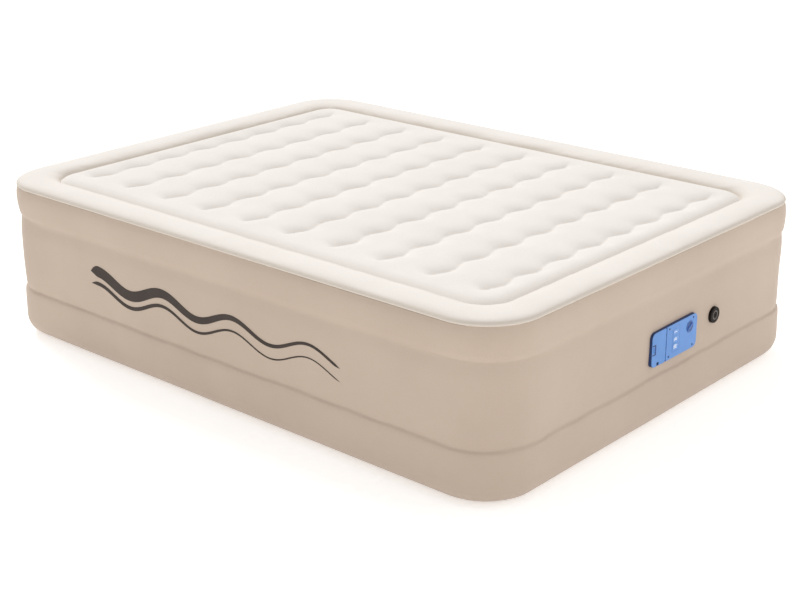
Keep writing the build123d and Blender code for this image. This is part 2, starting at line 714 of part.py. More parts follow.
def fan(x, z, radius, front, back, shaft_start, shaft, blades):
    """A centrifugal impeller with flat blades, on the shaft that runs into its motor."""
    extrude(discs(x, z, back, radius), amount=2)
    extrude(discs(x, z, back, 3 * shaft), amount=back - front)
    with BuildSketch(facing(back)) as vanes:
        with Locations((x, z)):
            with PolarLocations(radius * 0.62, blades):
                with Locations(Location((0, 0), 35)):
                    Rectangle(radius * 0.66, 1.4)
    extrude(vanes.sketch, amount=back - front)
    extrude(discs(x, z, back, shaft), amount=back - shaft_start)


def fan_housing(x, z, radius, front, back, inlet, wall):
    """A round cup, open at the back, whose front wall has the fan's inlet in it."""
    extrude(discs(x, z, back, radius, wall - radius), amount=back - front)
    extrude(discs(x, z, front + wall, radius - wall / 2, -inlet), amount=wall)


with BuildPart() as main_motor:
    motor(main_x, main_z, main_can, main_front, main_back, main_shaft_radius)
save(main_motor, "main_motor")
with BuildPart() as main_impeller:
    fan(
        main_x, main_z, main_fan, main_fan_front, main_fan_back,
        main_back - 8, main_shaft_radius, 9,
    )
save(main_impeller, "main_impeller")
with BuildPart() as volute:
    fan_housing(main_x, main_z, main_fan + 6, main_fan_front - 3, TUB_BACK - TUB_WALL, 13, 2)
save(volute, "volute")

with BuildPart() as quiet_motor:
    motor(quiet_x, quiet_z, quiet_can, quiet_front, quiet_back, quiet_shaft_radius)
save(quiet_motor, "quiet_motor")
with BuildPart() as quiet_impeller:
    fan(
        quiet_x, quiet_z, quiet_fan, quiet_fan_front, quiet_fan_back,
        quiet_back - 8, quiet_shaft_radius, 7,
    )
save(quiet_impeller, "quiet_impeller")
with BuildPart() as quiet_housing:
    fan_housing(quiet_x, quiet_z, quiet_fan + 4, quiet_fan_front - 3, TUB_BACK - TUB_WALL, 7, 2)
save(quiet_housing, "quiet_housing")

with BuildPart() as power_module:
    with BuildSketch(facing(66)):
        with Locations((37, -14)):
            RectangleRounded(26, 44, 2)
    extrude(amount=40)
save(power_module, "power_module")

# ================================================================ pump: air path and sensing
with BuildPart() as outlet_port:
    with BuildSketch(facing(OUTLET_BACK)):
        with Locations((main_x, OUTLET_Z)):
            Circle(OUTLET_RADIUS + 2)
            Circle(OUTLET_RADIUS, mode=Mode.SUBTRACT)
        with Locations((main_x, OUTLET_Z + OUTLET_RADIUS + 4)):
            Rectangle(12, 5)
    extrude(amount=OUTLET_BACK - TUB_BACK)
save(outlet_port, "outlet_port")

FLAP_FRONT = OUTLET_BACK + 0.3
with BuildPart() as air_flap:
    with BuildSketch(facing(FLAP_FRONT + 1)):
        with Locations((main_x, OUTLET_Z)):
            Circle(OUTLET_RADIUS + 1.5)
        with Locations((main_x, OUTLET_Z + OUTLET_RADIUS)):
            Rectangle(12, 8)
    extrude(amount=1)
save(air_flap, "air_flap")

SENSOR_BACK = 24
with BuildPart() as pressure_sensor:
    with BuildSketch(facing(SENSOR_BACK)):
        with Locations((SENSOR_X, SENSOR_Z - 5)):
            Rectangle(10, 10)
    extrude(amount=SENSOR_BACK - BOARD_BACK)
    with BuildSketch(facing(SENSOR_BACK + 3)):
        with Locations((SENSOR_X, SENSOR_Z - 5)):
            Circle(1)
    extrude(amount=3)
save(pressure_sensor, "pressure_sensor")

with BuildPart() as sensor_tube:
    with BuildLine() as tube_path:
        tube_y = FRONT + SENSOR_BACK + 0.3
        start = (PUMP_X + SENSOR_X, tube_y, PUMP_Z + SENSOR_Z - 5)
        bend = (PUMP_X + SENSOR_X, tube_y + 20, PUMP_Z + SENSOR_Z - 5)
        rise = (PUMP_X + SENSOR_X, tube_y + 40, PUMP_Z + SENSOR_Z)
        end = (PUMP_X + SENSOR_X, FRONT + TUB_BACK + 4, PUMP_Z + SENSOR_Z)
        Line(start, bend)
        Spline(bend, rise, tangents=((0, 1, 0), (0, 1, 0)))
        Line(rise, end)
    with BuildSketch(Plane(origin=start, z_dir=(0, 1, 0))):
        Circle(SENSOR_TUBE_RADIUS)
        Circle(SENSOR_TUBE_RADIUS - 0.45, mode=Mode.SUBTRACT)
    sweep(path=tube_path.wire())
save(sensor_tube, "sensor_tube")

# ================================================================ screw valve
SEAT_BACK = 34
LIP_DEPTH = 26
FLAP_RADIUS = 16.5
FLAP_DEPTH = 28.3
FLAP_THICKNESS = 1.5
with BuildPart() as valve_seat:
    with BuildSketch(facing(SEAT_BACK, VALVE_X, VALVE_Z)):
        Circle(VALVE_BORE + 2.5)
    extrude(amount=SEAT_BACK - VALVE_FACE)
    with BuildSketch(facing(FLANGE_FRONT - 2, VALVE_X, VALVE_Z)):
        Circle(VALVE_RADIUS + 7)
    extrude(amount=1.6)
    with BuildSketch(facing(FLANGE_FRONT - 2, VALVE_X, VALVE_Z)):
        Circle(VALVE_RADIUS)
    extrude(amount=FLANGE_FRONT - 2 - VALVE_FACE)
    with BuildSketch(facing(SEAT_BACK, VALVE_X, VALVE_Z)):
        Circle(VALVE_BORE)
    extrude(amount=SEAT_BACK, mode=Mode.SUBTRACT)
    with BuildSketch(facing(LIP_DEPTH + 2, VALVE_X, VALVE_Z)):
        Circle(VALVE_BORE)
        Circle(VALVE_BORE - 4, mode=Mode.SUBTRACT)
    extrude(amount=2)
    with BuildSketch(facing(SEAT_BACK + 6, VALVE_X, VALVE_Z)):
        Circle(4)
        Rectangle(2 * VALVE_BORE + 3, 3)
        Rectangle(3, 2 * VALVE_BORE + 3)
        Circle(1.56, mode=Mode.SUBTRACT)
    extrude(amount=2)
    with BuildSketch(facing(SEAT_BACK + 4, VALVE_X, VALVE_Z)):
        Circle(VALVE_BORE + 2.5)
        Circle(VALVE_BORE, mode=Mode.SUBTRACT)
    extrude(amount=6)
    with BuildSketch(facing(SEAT_BACK + 6, VALVE_X, VALVE_Z)):
        Circle(VALVE_BORE + 2.5)
        Circle(VALVE_BORE - 1, mode=Mode.SUBTRACT)
    extrude(amount=2)
save(valve_seat, "valve_seat")

with BuildPart() as valve_flap:
    with BuildSketch(facing(FLAP_DEPTH + FLAP_THICKNESS, VALVE_X, VALVE_Z)):
        Circle(FLAP_RADIUS)
    extrude(amount=FLAP_THICKNESS)
    with BuildSketch(facing(SEAT_BACK + 8, VALVE_X, VALVE_Z)):
        Circle(1.5)
    extrude(amount=SEAT_BACK + 8 - FLAP_DEPTH - 0.5)
save(valve_flap, "valve_flap")

with BuildPart() as valve_cap:
    with BuildSketch(facing(VALVE_FACE - 0.3, VALVE_X, VALVE_Z)):
        Circle(VALVE_RADIUS - 0.5)
    extrude(amount=VALVE_FACE - 0.3 - CAP_FACE)
    fillet(valve_cap.faces().sort_by(Axis.Y)[0].edges(), 0.8)
    with BuildSketch(facing(CAP_SKIRT_BACK, VALVE_X, VALVE_Z)):
        Circle(VALVE_BORE - 0.4)
    extrude(amount=CAP_SKIRT_BACK - CAP_FACE - 1)
    with BuildSketch(facing(CAP_SKIRT_BACK, VALVE_X, VALVE_Z)):
        Circle(VALVE_BORE - 2.4)
    extrude(amount=CAP_SKIRT_BACK - VALVE_FACE - 2, mode=Mode.SUBTRACT)
    with BuildSketch(facing(CAP_FACE + 1, VALVE_X, VALVE_Z)):
        Circle(13.5)
        Circle(10.5, mode=Mode.SUBTRACT)
        Rectangle(7, 2.4)
        Rectangle(2.4, 7)
    extrude(amount=1, mode=Mode.SUBTRACT)
    with BuildSketch(facing(VALVE_FACE - 0.3, VALVE_X, VALVE_Z)):
        Circle(21.6)
        Circle(19.4, mode=Mode.SUBTRACT)
    extrude(amount=0.8, mode=Mode.SUBTRACT)
save(valve_cap, "valve_cap")

with BuildPart() as cap_ring:
    with BuildSketch(facing(CAP_FACE + 1, VALVE_X, VALVE_Z)):
        Circle(13.5)
        Circle(10.5, mode=Mode.SUBTRACT)
    extrude(amount=1.3)
save(cap_ring, "cap_ring")

with BuildPart() as valve_oring:
    with BuildSketch(facing(VALVE_FACE - 0.05, VALVE_X, VALVE_Z)):
        Circle(21.3)
        Circle(19.7, mode=Mode.SUBTRACT)
    extrude(amount=0.9)
save(valve_oring, "valve_oring")
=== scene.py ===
"""A raised air mattress: its soft pieces, small details, materials, floor, light and camera.

Metres, in the CAD frame: the floor is z = 0, +Y runs along the bed away from the pump, and the
printed long wall faces -X. The inflated skins are drawn here over the CAD's welds, and the pump and
the valve are the CAD's own pieces with finishes and small marks added.
"""

import json
from math import cos, hypot, pi, radians, sin

import bmesh
import bpy
import numpy as np
from mathutils import Matrix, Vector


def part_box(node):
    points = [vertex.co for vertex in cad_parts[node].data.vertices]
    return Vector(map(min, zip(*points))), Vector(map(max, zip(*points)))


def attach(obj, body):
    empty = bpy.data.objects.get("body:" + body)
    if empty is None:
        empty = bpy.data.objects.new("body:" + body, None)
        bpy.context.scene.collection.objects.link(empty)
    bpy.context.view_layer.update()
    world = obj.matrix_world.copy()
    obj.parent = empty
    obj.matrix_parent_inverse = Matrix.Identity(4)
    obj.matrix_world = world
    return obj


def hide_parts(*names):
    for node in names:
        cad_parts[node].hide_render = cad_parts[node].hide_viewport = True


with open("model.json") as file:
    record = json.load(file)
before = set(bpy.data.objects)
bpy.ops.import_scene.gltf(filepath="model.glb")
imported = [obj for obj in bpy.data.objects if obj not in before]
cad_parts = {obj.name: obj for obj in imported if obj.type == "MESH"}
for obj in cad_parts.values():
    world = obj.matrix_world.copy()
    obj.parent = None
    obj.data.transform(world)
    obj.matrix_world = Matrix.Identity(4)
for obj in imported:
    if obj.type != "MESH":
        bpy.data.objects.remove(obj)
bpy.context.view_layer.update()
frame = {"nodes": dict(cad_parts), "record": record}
scene = bpy.context.scene

# ---------------------------------------------------------------- sizes of the soft body
HALF_WIDTH = 0.760
HALF_LENGTH = 1.011
BODY_Y = 0.004
CORNER = 0.170
FLOOR_RADIUS = 0.060
LOWER_GROOVE = 0.156
UPPER_GROOVE = 0.396
GROOVE_DEPTH = 0.0112
DEEPEST = 0.0124  # the internal tie sheets begin just behind this
MIDDLE_INSET = 0.0042
WALL_TOP = 0.4918
SEAM_INSET = 0.0065
CREST_INSET = 0.056
CREST = 0.5108
CREASE_INSET = 0.127
CREASE_RADIUS = 0.080
CREASE = 0.4905
CROWN = 0.5050
QUILT_DEPTH = 0.0165
QUILT_FLOOR = 0.4845  # the beams' upper edges are just under this
# A puffed edge follows (1 - (1 - share) ** first) ** second.
CHANNEL_SHAPE = (2.9, 0.78)
BORDER_SHAPE = (2.2, 0.85)
BORDER_WIDTH = 0.042
WELD_END, WELD_FADE = 0.058, 0.055  # how far from the crease a weld line ends, and its run-out
DEPTH_WAVE = 0.16  # how much deeper the weld is on one side of its wave
TUFT = 0.0011
SWELL_START = 0.05
PUCKER_REACH = 0.018
BEAM_PITCH = 0.176
BEAM_COUNT = 10
WAVE = 0.142
WAVE_START = -0.497
SWING = 0.0095
FRONT = -1.015

PUMP_X, PUMP_Z = 0.028, 0.245
PLATE_WIDTH, PLATE_HEIGHT, PLATE_RADIUS = 0.2286, 0.1016, 0.0163
VALVE_X, VALVE_Z, VALVE_RADIUS = 0.245, 0.255, 0.0243

# ---------------------------------------------------------------- how the wall's face is shaped
# Where the middle band's set-back starts before each groove, and the width of its step.
LOWER_STEP, UPPER_STEP = (0.004, 0.012), (0.012, 0.030)
# Each is a depth and the distance over which it fades.
SHELF = (0.0018, 0.055)
SHARP_GROOVE = (GROOVE_DEPTH - 0.0066, 0.007)
SOFT_GROOVE = (0.0016, 0.028)
VALLEY = (0.0044, 0.032)
CORNER_CREASE = (0.0034, 0.008)
CORNER_SPREAD = 1.6
SHORT_WALL_SOFTNESS = 0.62  # how much of the sharp groove is lost on the two short walls
CURL_START, CURL_POWER = 0.446, 2.6  # the wall leans in to the rim's weld from this height up
CURL_INSET = SEAM_INSET + 0.0008
PUCKER_HEIGHT = 0.0011
PUCKER_REACHES = (0.022, 0.030, 0.020)  # at the lower groove, the upper groove and the rim
PUCKER_SHARES = (1, 0.4, 0.35)
FOLD_HEIGHT = 0.0020
SLANT = 0.35

# Uneven places: height, cell size in each of the two directions, and seed.
NOISE = {
    "lower_wander": (0.0018, 0.085, 1, 11),
    "upper_wander": (0.0025, 0.14, 1, 12),
    "wall_swell": (0.0007, 0.32, 0.2, 13),
    "wall_pucker": (1, 0.034, 0.060, 14),
    "wall_fine_pucker": (0.8, 0.019, 0.05, 15),
    "wall_slack": (0.0014, 0.19, 0.13, 16),
    "corner_folds": (1, 0.052, 0.30, 17),
    "valley": (0.0014, 0.31, 1, 18),
    "rim_swell": (0.0016, 0.13, 0.2, 21),
    "rim_slack": (0.0008, 0.075, 0.075, 22),
    "rim_pucker": (0.0009, 0.024, 1, 23),
    "weld_wander": (0.0012, 0.12, 0.09, 31),
    "top_swell": (0.0011, 0.16, 0.088, 32),
    "top_pucker": (0.0010, 0.021, 0.050, 33),
}

# ---------------------------------------------------------------- how the rim's section runs
# Insets and heights, from the weld round the outside.
RIM_LIP = [(0.0105, 0.4886), (0.0068, 0.4902), (0.0046, 0.4922)]
RIM_SIDE_INSET, RIM_SIDE_Z = 0.0038, 0.4945
RIM_OUTER_POWER = 1.05
RIM_INNER_SHAPE = (3.0, 0.80)
RIM_TUCK, RIM_OVERLAP = 0.001, 0.0006  # below the crease, and past it
WELD_BEAD = [
    (0.0100, 0.4872), (0.0074, 0.4884), (0.0064, 0.4898), (0.0070, 0.4912), (0.0100, 0.4922),
]


# ================================================================ helpers
def lattice_noise(u, v, cell_u, cell_v, seed):
    """Smooth noise from -1 to 1 over two coordinates in metres, the same on every run."""
    table = np.random.default_rng(seed).uniform(-1, 1, (64, 64))
    a, b = u / cell_u, v / cell_v
    i, j = np.floor(a).astype(int), np.floor(b).astype(int)
    a, b = a - i, b - j
    a, b = a * a * (3 - 2 * a), b * b * (3 - 2 * b)
    low = table[i % 64, j % 64] * (1 - a) + table[(i + 1) % 64, j % 64] * a
    high = table[i % 64, (j + 1) % 64] * (1 - a) + table[(i + 1) % 64, (j + 1) % 64] * a
    return low * (1 - b) + high * b


def uneven(kind, u, v):
    """The height of one of the uneven places in NOISE."""
    height, cell_u, cell_v, seed = NOISE[kind]
    return height * lattice_noise(u, v, cell_u, cell_v, seed)


def fading(distance, reach):
    """1 at a distance of 0, falling off over the reach to either side."""
    return np.exp(-np.abs(distance) / reach)


def puffed(share, shape):
    """0 to 1 along a puffed edge as share goes from 0 to 1."""
    return (1 - (1 - share) ** shape[0]) ** shape[1]


def smooth(x):
    """0 below 0, 1 above 1, and a smooth step between."""
    x = np.clip(x, 0, 1)
    return x * x * (3 - 2 * x)


def rounded_distance(x, y, half_x, half_y, radius):
    """Signed distance from a rounded rectangle's outline, below 0 inside it."""
    a, b = np.abs(x) - half_x + radius, np.abs(y) - half_y + radius
    outside = np.hypot(np.maximum(a, 0), np.maximum(b, 0))
    return outside + np.minimum(np.maximum(a, b), 0) - radius


def to_outline(x, y, distance):
    """Moves points onto the line where distance(x, y) is 0."""
    step = 1e-5
    for _ in range(4):
        d = distance(x, y)
        slope_x = (distance(x + step, y) - d) / step
        slope_y = (distance(x, y + step) - d) / step
        length = np.maximum(slope_x**2 + slope_y**2, 1e-6)
        x, y = x - d * slope_x / length, y - d * slope_y / length
    return x, y


def grid_faces(rows, columns, closed):
    """Quads of a grid stored row by row; closed joins the last column to the first."""
    faces = []
    for row in range(rows - 1):
        for column in range(columns if closed else columns - 1):
            after = (column + 1) % columns
            faces.append(
                (
                    row * columns + column,
                    row * columns + after,
                    (row + 1) * columns + after,
                    (row + 1) * columns + column,
                )
            )
    return np.array(faces)


def trim(x, y, faces, distance):
    """Drops the faces inside the outline and moves the points left at its edge onto it."""
    middle = distance(x[faces].mean(1), y[faces].mean(1))
    keep = faces[middle > 0]
    gone = faces[middle <= 0]
    edge = np.intersect1d(keep, gone)
    x[edge], y[edge] = to_outline(x[edge], y[edge], distance)
    return keep


def mesh_piece(name, points, faces, finish):
    """A smooth-shaded mesh object from points and faces, with its material, on the mattress."""
    used, numbers = np.unique(np.concatenate([np.ravel(f) for f in faces]), return_inverse=True)
    points = np.asarray(points)[used]
    faces = np.split(numbers, np.cumsum([len(f) for f in faces])[:-1])
    mesh = bpy.data.meshes.new(name)
    mesh.from_pydata(points.tolist(), [], [f.tolist() for f in faces])
    mesh.validate()
    mesh.shade_smooth()
    piece = bpy.data.objects.new(name, mesh)
    scene.collection.objects.link(piece)
    mesh.materials.append(finish)
    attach(piece, "mattress")
    return piece


# ================================================================ materials
def node(nodes, kind, **inputs):
    """A new node with some of its inputs set."""
    made = nodes.new(kind)
    for key, value in inputs.items():
        made.inputs[key].default_value = value
    return made


def span(tree, value, source=(0, 1), target=(0, 1)):
    """A socket's value, taken from the source range to the target range."""
    made = tree.nodes.new("ShaderNodeMapRange")
    made.inputs["From Min"].default_value, made.inputs["From Max"].default_value = source
    made.inputs["To Min"].default_value, made.inputs["To Max"].default_value = target
    tree.links.new(value, made.inputs["Value"])
    return made.outputs["Result"]


def blend(tree, factor, first, second, how="MIX"):
    """Two colours mixed by a factor; each of the three is a socket or a plain value."""
    made = tree.nodes.new("ShaderNodeMix")
    made.data_type = "RGBA"
    made.blend_type = how
    for key, value in (("Factor", factor), ("A", first), ("B", second)):
        if isinstance(value, bpy.types.NodeSocket):
            tree.links.new(value, made.inputs[key])
        else:
            made.inputs[key].default_value = value
    return made.outputs["Result"]


PATCH_SPAN = (0.32, 0.68)
GRAIN_SPAN, GRAIN_SHADE = (0.3, 0.7), (0.93, 1.04)
WEAR_SPAN, WEAR_MOST = (0.62, 0.74), 0.6
DARKENING_TOP, DARKENING_MOST = 0.07, 0.55
# Normal heights over which the painted slope shade gives way to the finish's own colour.
SLOPE_SHADE_SPAN = (0.80, 0.995)
ROUGHNESS_SWING = 0.07


def textured(name, colour, other, roughness, patch, grain, bump, sheen=0.0, metal=0.0, coat=0.0,
             shine=0.5, worn=None, wear_size=40.0, stretch=(1, 1, 1), floor_darkening=None, slope=None):
    """A finish with colour patches, a fine grain in its bump and roughness, and worn spots.

    patch, grain and wear_size are noise scales per metre, and bump is the grain's height in metres.
    The floor colour darkens the finish near the floor, and the slope colour is painted shade where
    the surface leans away from level, partly the nap of the flock.
    """
    material = bpy.data.materials.new(name)
    material.use_nodes = True
    tree = material.node_tree
    nodes, links = tree.nodes, tree.links
    shader = nodes["Principled BSDF"]
    place = nodes.new("ShaderNodeTexCoord")
    mapping = node(nodes, "ShaderNodeMapping", Scale=stretch)
    links.new(place.outputs["Object"], mapping.inputs["Vector"])
    patches = node(nodes, "ShaderNodeTexNoise", Scale=patch, Detail=4.0, Roughness=0.55)
    grains = node(nodes, "ShaderNodeTexNoise", Scale=grain, Detail=3.0, Roughness=0.6)
    links.new(mapping.outputs["Vector"], patches.inputs["Vector"])
    links.new(mapping.outputs["Vector"], grains.inputs["Vector"])

    spread = span(tree, patches.outputs["Fac"], PATCH_SPAN)
    last = blend(tree, spread, (*colour, 1), (*other, 1))
    shade = span(tree, grains.outputs["Fac"], GRAIN_SPAN, GRAIN_SHADE)
    last = blend(tree, 1.0, last, shade, "MULTIPLY")
    if worn is not None:
        wear = node(nodes, "ShaderNodeTexNoise", Scale=wear_size, Detail=6.0, Roughness=0.7)
        links.new(mapping.outputs["Vector"], wear.inputs["Vector"])
        where = span(tree, wear.outputs["Fac"], WEAR_SPAN, (0, WEAR_MOST))
        last = blend(tree, where, last, (*worn, 1))
    # Darker towards the floor: the finish blends to the given colour in its lowest few centimetres.
    if floor_darkening is not None:
        apart = nodes.new("ShaderNodeSeparateXYZ")
        links.new(place.outputs["Object"], apart.inputs["Vector"])
        low = span(tree, apart.outputs["Z"], (0, DARKENING_TOP), (DARKENING_MOST, 0))
        last = blend(tree, low, last, (*floor_darkening, 1))
    # Painted shade: darker towards the slope colour where the normal leans from up, partly the
    # flock's nap.
    if slope is not None:
        slope_shade_normal = nodes.new("ShaderNodeNewGeometry")
        parts = nodes.new("ShaderNodeSeparateXYZ")
        links.new(slope_shade_normal.outputs["Normal"], parts.inputs["Vector"])
        level = span(tree, parts.outputs["Z"], SLOPE_SHADE_SPAN)
        last = blend(tree, level, (*slope, 1), last)
    links.new(last, shader.inputs["Base Color"])

    ends = (max(0.05, roughness - ROUGHNESS_SWING), min(1.0, roughness + ROUGHNESS_SWING))
    rough = span(tree, grains.outputs["Fac"], target=ends)
    links.new(rough, shader.inputs["Roughness"])
    raised = node(nodes, "ShaderNodeBump", Distance=bump, Strength=1.0)
    links.new(grains.outputs["Fac"], raised.inputs["Height"])
    links.new(raised.outputs["Normal"], shader.inputs["Normal"])
    shader.inputs["Metallic"].default_value = metal
    shader.inputs["Specular IOR Level"].default_value = shine
    shader.inputs["Sheen Weight"].default_value = sheen
    shader.inputs["Sheen Roughness"].default_value = 0.5
    shader.inputs["Coat Weight"].default_value = coat
    shader.inputs["Coat Roughness"].default_value = 0.25
    return material


FLOCK = textured(
    "flocked_top", colour=(0.800, 0.755, 0.715), other=(0.775, 0.730, 0.688),
    roughness=0.92, patch=5.0, grain=520.0, bump=0.0006,
    sheen=0.15, worn=(0.750, 0.705, 0.662), wear_size=9.0,
)
# The rim's slope colour is painted shade on its leaning sides, partly the flock's nap.
RIM = textured(
    "rim_flock_slope_shade", colour=(0.800, 0.752, 0.708), other=(0.775, 0.725, 0.680),
    roughness=0.9, patch=4.0, grain=560.0, bump=0.0005,
    sheen=0.15, worn=(0.750, 0.700, 0.655), wear_size=11.0, slope=(0.640, 0.570, 0.500),
)
WALL = textured(
    "wall_vinyl", colour=(0.545, 0.436, 0.352), other=(0.512, 0.406, 0.325),
    roughness=0.82, patch=3.0, grain=640.0, bump=0.0004,
    sheen=0.12, worn=(0.50, 0.40, 0.325), wear_size=7.0, floor_darkening=(0.42, 0.34, 0.28),
)
# Painted shade: the weld bead is a real seam, but its dark colour is the shadow line under the
# rim's lip.
SEAM_SHADE = textured(
    "weld_seam_shade", colour=(0.300, 0.240, 0.190), other=(0.260, 0.205, 0.160),
    roughness=0.7, patch=20.0, grain=700.0, bump=0.0002,
)
PRINT = textured(
    "print_ink", colour=(0.036, 0.023, 0.017), other=(0.046, 0.031, 0.024),
    roughness=0.75, patch=12.0, grain=640.0, bump=0.0002,
    worn=(0.07, 0.05, 0.04), wear_size=60.0,
)
BOTTOM = textured(
    "bottom_vinyl", colour=(0.40, 0.33, 0.27), other=(0.34, 0.28, 0.23),
    roughness=0.7, patch=5.0, grain=300.0, bump=0.0005,
    worn=(0.28, 0.23, 0.19), wear_size=14.0,
)
INNER = textured(
    "inner_vinyl", colour=(0.72, 0.71, 0.67), other=(0.66, 0.65, 0.60),
    roughness=0.55, patch=6.0, grain=350.0, bump=0.0003,
    worn=(0.58, 0.57, 0.53), wear_size=15.0,
)
BLUE = textured(
    "blue_plastic", colour=(0.105, 0.275, 0.660), other=(0.095, 0.255, 0.620),
    roughness=0.42, patch=25.0, grain=1500.0, bump=0.00012,
    worn=(0.150, 0.335, 0.710), wear_size=90.0,
)
NAVY = textured(
    "navy_plastic", colour=(0.012, 0.040, 0.150), other=(0.010, 0.032, 0.120),
    roughness=0.45, patch=25.0, grain=1500.0, bump=0.00012,
    worn=(0.03, 0.07, 0.20), wear_size=90.0,
)
BUTTON = textured(
    "button_face", colour=(0.150, 0.330, 0.720), other=(0.135, 0.305, 0.690),
    roughness=0.4, patch=60.0, grain=1800.0, bump=0.0001,
    worn=(0.20, 0.39, 0.77), wear_size=160.0,
)
DIAL = textured(
    "dial_blue", colour=(0.030, 0.120, 0.420), other=(0.024, 0.100, 0.370),
    roughness=0.38, patch=50.0, grain=1600.0, bump=0.0001,
    worn=(0.06, 0.18, 0.50), wear_size=150.0,
)
HOUSING = textured(
    "housing_plastic", colour=(0.030, 0.065, 0.160), other=(0.024, 0.054, 0.135),
    roughness=0.5, patch=20.0, grain=1200.0, bump=0.0002,
    worn=(0.06, 0.10, 0.20), wear_size=70.0,
)
FAN = textured(
    "fan_plastic", colour=(0.70, 0.70, 0.67), other=(0.64, 0.64, 0.60),
    roughness=0.4, patch=30.0, grain=1400.0, bump=0.0001,
    worn=(0.52, 0.52, 0.49), wear_size=80.0,
)
BLACK = textured(
    "black_plastic", colour=(0.010, 0.007, 0.006), other=(0.016, 0.012, 0.010),
    roughness=0.55, patch=60.0, grain=1500.0, bump=0.00012,
    shine=0.10, worn=(0.025, 0.028, 0.025), wear_size=120.0,
)
GREY = textured(
    "grey_plastic", colour=(0.150, 0.120, 0.105), other=(0.120, 0.098, 0.086),
    roughness=0.5, patch=60.0, grain=1500.0, bump=0.00012,
    shine=0.2, worn=(0.20, 0.15, 0.13), wear_size=120.0,
)
RUBBER = textured(
    "soft_rubber", colour=(0.022, 0.022, 0.022), other=(0.032, 0.031, 0.030),
    roughness=0.8, patch=40.0, grain=900.0, bump=0.0002,
    worn=(0.055, 0.053, 0.050), wear_size=90.0,
)
PLATED = textured(
    "plated_steel", colour=(0.30, 0.31, 0.33), other=(0.24, 0.25, 0.27),
    roughness=0.32, patch=80.0, grain=2000.0, bump=0.00006,
    metal=1.0, worn=(0.15, 0.15, 0.16), wear_size=250.0,
)
CAN = textured(
    "motor_steel", colour=(0.52, 0.53, 0.55), other=(0.44, 0.45, 0.47),
    roughness=0.3, patch=30.0, grain=1500.0, bump=0.00006,
    metal=1.0, worn=(0.33, 0.33, 0.34), wear_size=90.0, stretch=(1, 0.08, 1),
)
BOARD = textured(
    "solder_mask", colour=(0.012, 0.110, 0.045), other=(0.010, 0.085, 0.036),
    roughness=0.38, patch=60.0, grain=1200.0, bump=0.0001,
    coat=0.3, worn=(0.05, 0.18, 0.09), wear_size=140.0,
)
GUIDE = textured(
    "clear_guide", colour=(0.62, 0.72, 0.86), other=(0.55, 0.66, 0.82),
    roughness=0.25, patch=80.0, grain=1500.0, bump=0.00005,
    coat=0.5, worn=(0.75, 0.82, 0.92), wear_size=200.0,
)
SCREW = textured(
    "dark_screw", colour=(0.030, 0.040, 0.075), other=(0.022, 0.030, 0.060),
    roughness=0.45, patch=80.0, grain=2000.0, bump=0.00005,
    metal=0.4, shine=0.2, worn=(0.10, 0.11, 0.14), wear_size=260.0,
)
MARK = textured(
    "white_mark", colour=(0.80, 0.84, 0.92), other=(0.72, 0.77, 0.88),
    roughness=0.5, patch=90.0, grain=1800.0, bump=0.00005,
    worn=(0.50, 0.60, 0.82), wear_size=260.0,
)
LINE = textured(
    "moulded_line", colour=(0.040, 0.130, 0.420), other=(0.032, 0.110, 0.370),
    roughness=0.5, patch=60.0, grain=1600.0, bump=0.00006,
    worn=(0.06, 0.17, 0.48), wear_size=160.0,
)
FLOOR = textured(
    "paper_floor", colour=(0.93, 0.93, 0.925), other=(0.925, 0.925, 0.92),
    roughness=0.9, patch=0.4, grain=60.0, bump=0.0,
)
glow = FLOOR.node_tree.nodes["Principled BSDF"].inputs
glow["Emission Color"].default_value = (1, 1, 1, 1)
glow["Emission Strength"].default_value = 0.42

SLOT_FINISH = {
    "flocked_top": FLOCK, "rim_vinyl": RIM, "wall_vinyl": WALL, "bottom_vinyl": BOTTOM,
    "inner_vinyl": INNER, "navy_plastic": NAVY, "blue_plastic": BLUE, "white_button": BUTTON,
    "dial_blue": DIAL, "housing_plastic": HOUSING, "fan_plastic": FAN, "black_plastic": BLACK,
    "grey_plastic": GREY, "soft_rubber": RUBBER, "plated_steel": PLATED, "motor_steel": CAN,
    "board": BOARD, "clear_guide": GUIDE,
}
for part in frame["record"]["subparts"]:
    carried = frame["nodes"][part["node"]]
    carried.data.materials.clear()
    screw = part["node"].startswith("screw_")
    carried.data.materials.append(SCREW if screw else SLOT_FINISH[part["material_slot"]])


# ================================================================ the side wall
STRAIGHT_X, STRAIGHT_Y = HALF_WIDTH - CORNER, HALF_LENGTH - CORNER
ARC = CORNER * pi / 2
SIDES = np.cumsum([0] + [2 * STRAIGHT_X, ARC, 2 * STRAIGHT_Y, ARC] * 2)
AROUND = SIDES[-1]


def loop_frame(u):
    """The outline u metres on from the front wall's left end: x, y and the outward normal."""
    side = np.searchsorted(SIDES, u, side="right") - 1
    along = u - SIDES[side]
    quarter = side // 2
    on_arc = side % 2 == 1
    angle = -pi / 2 + quarter * pi / 2 + np.where(on_arc, along / CORNER, 0)
    corner_x = np.array([1, 1, -1, -1])[quarter] * STRAIGHT_X
    corner_y = np.array([-1, 1, 1, -1])[quarter] * STRAIGHT_Y
    run_x = np.array([1, 0, -1, 0])[quarter]
    run_y = np.array([0, 1, 0, -1])[quarter]
    left = np.where(on_arc, 0, SIDES[side + 1] - u)
    x = corner_x - run_x * left + CORNER * np.cos(angle)
    y = corner_y - run_y * left + CORNER * np.sin(angle) + BODY_Y
    return x, y, np.cos(angle), np.sin(angle)


CORNER_REACH = 0.24


def corner_closeness(u):
    """1 at the middle of a corner's arc, falling to 0 at CORNER_REACH from it."""
    middles = (SIDES[1:-1:2] + SIDES[2::2]) / 2
    apart = np.min([np.abs((u - m + AROUND / 2) % AROUND - AROUND / 2) for m in middles], axis=0)
    return smooth(1 - apart / CORNER_REACH)


